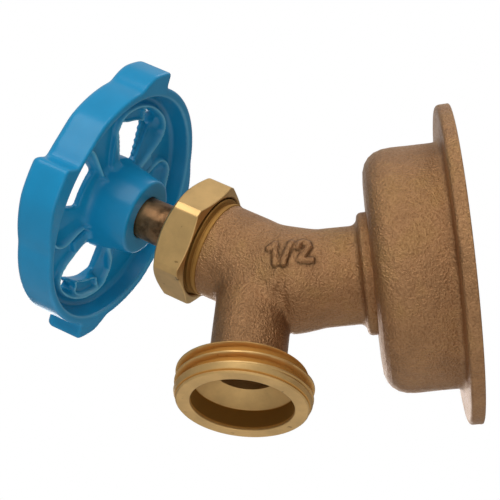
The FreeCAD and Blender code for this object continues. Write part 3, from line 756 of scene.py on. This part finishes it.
def jaw_outline(start):
    """Wedge along a window's side, from the reading where that starts, with six small teeth, as a
    closed curve."""
    teeth = 6
    foot, head = on_wheel(11.0, start - 1.0), on_wheel(18.8, start + 6.6)
    step = (head - foot) / teeth
    out = np.array([-step[1], step[0]]) / np.linalg.norm(step) * 0.62
    out = out if out @ on_wheel(1, start + 90) > 0 else -out
    tooth = np.arange(teeth)[:, None]
    edge = np.stack([foot + step * (tooth + 0.35) + out, foot + step * (tooth + 1)], 1).reshape(-1, 2)
    return np.vstack([foot, edge, on_wheel(18.8, start - 3), on_wheel(11.0, start - 3)])


class BIBB_OT_handwheel(bpy.types.Operator):
    """Handwheel: distance fields of the lobed rim, the web, the hub and the boss, met and joined with
    rounded edges. The web is dished inside its ears, with a bead round each ear and sunk leaves with
    raised edges, and the windows with their hooks and toothed jaws and the slots are cut through it.
    The mesh lies where the field is zero"""
    bl_idname = "bibb.handwheel"
    bl_label = "Handwheel"

    def execute(self, context):
        sizes = context.scene.bibb_wheel
        rim, lip, wall = sizes.rim_radius / MM, sizes.rim_lip / MM, sizes.rim_wall / MM
        web, bead = sizes.web_thickness / MM, sizes.bead_height / MM
        # Heights on the stem's axis: the hub's end, the rim's open edge, the web's flat back, the leaves'
        # back, the boss's far face and the rim's
        hub_end, open_edge, web_back, leaf_back, boss_face, rim_face = 34.4, 39.75, 43.3, 44.1, 46.4, 48.2
        rim_at = chart([lobed_outline(rim)])
        openings = chart([
            outline([(9.8, 102), (9.8, 147.5), (16.6, 147), (17.6, 135), (18.0, 119), (18.2, 115),
                     (18.7, 114), (19.0, 116.5), (19.2, 120.5), (20.4, 121), (20.7, 114), (20.4, 105),
                     (19.4, 102)], 0.25),
            outline([(12.0, 187), (12.0, 225), (20.2, 225), (20.2, 187)], 0.5)])
        beads = chart([
            outline([(9.0, 90), (15.2, 89.3), (17.6, 89.6), (19.2, 90.9), (20.3, 93.5), (21.0, 97),
                     (21.4, 103), (21.4, 120), (21.2, 135), (20.6, 147), (19.7, 152.5), (17.3, 157.5),
                     (14.7, 158.2), (11.4, 153), (9.0, 150)], 0.4),
            outline([(9.0, 250), (12.6, 250), (15.0, 251.8), (16.5, 252.2), (17.9, 251), (19.4, 248),
                     (20.7, 243.5), (21.4, 240), (21.5, 230), (21.5, 190), (20.5, 185), (18.0, 183),
                     (9.0, 183)], 0.5)])
        plates = chart([outline([(9.0, 76), (14.3, 76), (14.3, 90), (9.0, 90)], 0.3),
                        outline([(9.0, 150), (18.5, 157), (9.0, 168)], 0.3)])
        leaves = chart([outline([(18.0, 119), (17.7, 140), (18.1, 147), (20.4, 147), (20.8, 130),
                                 (20.6, 123.5), (19.2, 123)], 0.5)])
        jaws = chart([jaw_outline(102)])

        def field(x, y, h):
            r = np.hypot(x, y)
            outer = rim_at(x, y) - 0.08 * (h - open_edge) / (rim_face - open_edge)
            inner = rim - lip - (wall - lip) * np.clip((h - open_edge) / 4.15, 0, 1)
            dish = web_back - 0.1 + 0.19 * (r - 9.6)
            flat = web_back + 0.04 * (r - 9.6)
            # The web's back, which faces the body: flat or dished, then the leaves, beads and plates
            gap = beads(x, y)
            near = np.abs(gap)
            back = flat + (dish - flat) * np.where(gap < 0, steps(near, 0.3, 3.0), 0)
            leaf = leaves(x, y)
            back = back + (leaf_back - back) * steps(-leaf, -0.4, 0.2) - 0.9 * np.exp(-(leaf / 0.4) ** 2)
            proud = np.maximum(np.exp(-(near / 0.45) ** 2), steps(-plates(x, y), -0.2, 0.2))
            back = back + (web_back - bead - back) * proud
            wheel = meet(meet(outer, h - rim_face, 1.7), open_edge - h, 0.5)
            wheel = pare(wheel, meet(r - inner, (h - back) * 0.9, 0.8), 0.5)
            wheel = pare(wheel, meet(r - (rim - wall - 1.2), dish + web - h, 0.4), 0.3)
            hub = (r - 7.85 - 0.19886 * (h - hub_end)) * 0.981
            hub = meet(meet(hub, hub_end - h, 0.45), h - 45.0, 0.3)
            wheel = join(wheel, hub, 1.1)
            boss = meet(r - 7.8 - 0.15 * (boss_face - h), h - boss_face, 0.4)
            wheel = join(wheel, meet(boss, 44.0 - h, 0.1), 0.3)
            jaw = meet(jaws(x, y), dish + 0.7 - h, 0.05)
            wheel = pare(wheel, meet(openings(x, y), -jaw, 0.08), 0.3)
            wheel = pare(wheel, np.maximum(r - 4.42, h - 35.2), 0.15)
            hole = np.maximum(np.maximum(np.maximum(np.abs(x), np.abs(y)) - 3.35, r - 4.4), 30.0 - h)
            return pare(wheel, hole, 0.1)

        points, faces = net(field, (-30.3, -30.3, 33.9), (30.3, 30.3, 48.8), 0.32)
        x, y, h = points.T
        r = np.hypot(x, y)
        # Where the enamel is paled as a painted highlight: along bead and leaf crests, and less on the rim's
        # lip
        crest = np.maximum(np.exp(-(beads(x, y) / 0.3) ** 2), np.exp(-(leaves(x, y) / 0.25) ** 2))
        crest = crest * (h < 43.6) * (r > 10.5)
        edge = np.exp(-((h - 39.9) / 0.25) ** 2) * np.exp(-((r - rim + lip) / 0.35) ** 2)
        piece("enamelled_handwheel", place(STEM, x, y, h), faces,
              material("gloss_enamel", enamel_material, context.scene.bibb_finish.enamel),
              "wheel", "handwheel", {"crest_highlight": np.maximum(crest, 0.45 * edge)})
        return {"FINISHED"}


class BIBB_OT_finishes(bpy.types.Operator):
    """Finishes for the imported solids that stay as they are"""
    bl_idname = "bibb.finishes"
    bl_label = "Finishes of the Solids"

    def execute(self, context):
        tints = context.scene.bibb_finish
        shaft = material("drawn_bronze", shaft_material, tints.shaft)
        brass = material("machined_brass_nut", brass_material, tints.brass, STEM, 0.45)
        steel = material("zinc_plated_steel", plain_material, "B8B8B2", 1.0, 0.34, 2.381, 0.05)
        rubber = material("moulded_rubber", plain_material, "1B1B1B", 0.0, 0.7, 1.111, 0.08)
        packing = material("graphited_fibre", plain_material, "2A2A2B", 0.0, 0.85, 0.625, 0.2)
        chosen = {"stem": shaft, "disc_holder": brass, "swivel_ring": steel, "seat_washer": rubber,
                  "washer_screw": brass, "handle_screw": steel, "packing_washer": brass,
                  "packing_gland": brass, "packing_ring": packing}
        for name, made in chosen.items():
            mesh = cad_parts[name].data
            mesh.materials.clear()
            mesh.materials.append(made)
        return {"FINISHED"}


def area_lamp(name, size, power, location):
    """Square lamp of that width and power, which looks straight down until it is turned."""
    light = bpy.data.lights.new(name, "AREA")
    light.size = size
    light.energy = power
    lamp = bpy.data.objects.new(name, light)
    lamp.location = location
    bpy.context.scene.collection.objects.link(lamp)
    return lamp


class BIBB_OT_stage(bpy.types.Operator):
    """Pale floor, soft light and the camera"""
    bl_idname = "bibb.stage"
    bl_label = "Floor, Light and Camera"

    def execute(self, context):
        scene = context.scene
        scene.view_settings.view_transform = "Standard"
        # The camera looks up at the tap from in front and below, with a long lens
        eye = Vector((0.292216, -0.022024, -0.191030))
        ahead = Vector((-0.82434, -0.05654, 0.56327))
        right = Vector((-0.10670, 0.99268, -0.05652))
        up = right.cross(ahead)
        lens = bpy.data.cameras.new("camera")
        lens.lens = 127.29
        lens.sensor_width = 36.0
        lens.clip_start = 0.01
        lens.clip_end = 50.0
        camera = bpy.data.objects.new("camera", lens)
        camera.matrix_world = Matrix((right, up, -ahead)).transposed().to_4x4()
        camera.location = eye
        scene.collection.objects.link(camera)
        scene.camera = camera

        half, ground = 12.0, -0.45
        mesh = bpy.data.meshes.new("floor")
        corners = [(a * half, b * half, ground) for a, b in ((-1, -1), (1, -1), (1, 1), (-1, 1))]
        mesh.from_pydata(corners, [], [(0, 1, 2, 3)])
        floor = bpy.data.objects.new("floor", mesh)
        scene.collection.objects.link(floor)
        # Painted board, matt: two near whites in clouds of 0.67 m
        pale, tree, where = blank("painted_floor")
        soft = add(tree, "TexNoise", {"Vector": where, "Scale": per(666.7)})
        tones = add(tree, "ValToRGB", {"Fac": soft.outputs[0]},
                    [(0.3, linear("EDEDED")), (0.7, linear("F4F4F4"))])
        mesh.materials.append(finish(pale, {"Base Color": tones.outputs[0], "Roughness": 0.7}))

        # Lamps about the tap, each with its direction, distance, width and power
        centre = Vector((0, -0.036, 0.004))
        for name, direction, distance, size, power in (
                ("key", 0.75 * up - 0.6 * ahead - 0.2 * right, 0.55, 0.46, 1.6),
                ("fill", -0.8 * ahead + 0.05 * right - 0.3 * up, 0.42, 0.26, 0.16),
                ("rim", 0.8 * up + 0.5 * ahead + 0.4 * right, 0.6, 0.3, 0.4)):
            lamp = area_lamp(name, size, power, centre + direction.normalized() * distance)
            lamp.rotation_euler = direction.to_track_quat("Z", "Y").to_euler()
        # The wash looks down and lights the part of the floor that downward brass mirrors
        area_lamp("wash", 0.5, 2.2, (-0.7, -0.2, 0.25)).visible_camera = False

        # The world is grey below and paler above. The camera sees it white, and so do mirrored rays
        # that run nearly the way the camera looks.
        world = bpy.data.worlds.new("studio")
        world.use_nodes = True
        tree = world.node_tree
        tree.nodes.clear()
        sky = add(tree, "TexCoord").outputs["Generated"]
        lean = add(tree, "VectorMath", {0: sky, 1: up}, operation="DOT_PRODUCT")
        level = add(tree, "MapRange", {"Value": lean.outputs["Value"], "From Min": -0.8, "From Max": 0.9,
                                       "To Min": 0.09, "To Max": 0.58})
        path = add(tree, "LightPath")
        mirrored = add(tree, "Math", {0: path.outputs["Is Glossy Ray"],
                                      1: path.outputs["Is Transmission Ray"]}, operation="MAXIMUM")
        onward = add(tree, "VectorMath", {0: sky, 1: ahead}, operation="DOT_PRODUCT")
        backdrop = add(tree, "MapRange", {"Value": onward.outputs["Value"], "From Min": 0.95,
                                          "From Max": 0.98, "To Max": mirrored.outputs[0]})
        shown = add(tree, "Math", {0: backdrop.outputs[0], 1: path.outputs["Is Camera Ray"]},
                    operation="MAXIMUM")
        seen = add(tree, "Mix", {"Factor": shown.outputs[0], "A": level.outputs[0], "B": 1.0},
                   data_type="FLOAT")
        background = add(tree, "Background", {"Color": (1, 1, 1, 1), "Strength": seen.outputs[0]})
        add(tree, "OutputWorld", {"Surface": background.outputs[0]})
        scene.world = world
        return {"FINISHED"}


class BIBB_PT_sidebar(bpy.types.Panel):
    bl_label = "Hose Bibb"
    bl_idname = "BIBB_PT_sidebar"
    bl_space_type = "VIEW_3D"
    bl_region_type = "UI"
    bl_category = "Hose Bibb"

    def draw(self, context):
        for name in ("bibb_casting", "bibb_threads", "bibb_wheel", "bibb_finish"):
            group = getattr(context.scene, name)
            box = self.layout.box()
            for key in group.bl_rna.properties.keys():
                if key not in {"rna_type", "name"}:
                    box.prop(group, key)
        for operator in OPERATORS:
            self.layout.operator(operator.bl_idname)


GROUPS = {"bibb_casting": BIBB_PG_casting, "bibb_threads": BIBB_PG_threads, "bibb_wheel": BIBB_PG_wheel,
          "bibb_finish": BIBB_PG_finish}
OPERATORS = (BIBB_OT_bell, BIBB_OT_casting, BIBB_OT_hose_end, BIBB_OT_bonnet_end, BIBB_OT_nut,
             BIBB_OT_handwheel, BIBB_OT_finishes, BIBB_OT_stage)


def register():
    for made in (*GROUPS.values(), *OPERATORS, BIBB_PT_sidebar):
        bpy.utils.register_class(made)
    for name, group in GROUPS.items():
        setattr(bpy.types.Scene, name, bpy.props.PointerProperty(type=group))


def unregister():
    for name in GROUPS:
        delattr(bpy.types.Scene, name)
    for made in (BIBB_PT_sidebar, *OPERATORS, *GROUPS.values()):
        bpy.utils.unregister_class(made)


def main():
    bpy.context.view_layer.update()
    register()
    bpy.ops.bibb.bell()
    bpy.ops.bibb.casting()
    bpy.ops.bibb.hose_end()
    bpy.ops.bibb.bonnet_end()
    bpy.ops.bibb.nut()
    bpy.ops.bibb.handwheel()
    bpy.ops.bibb.finishes()
    bpy.ops.bibb.stage()


if __name__ == "__main__":
    main()
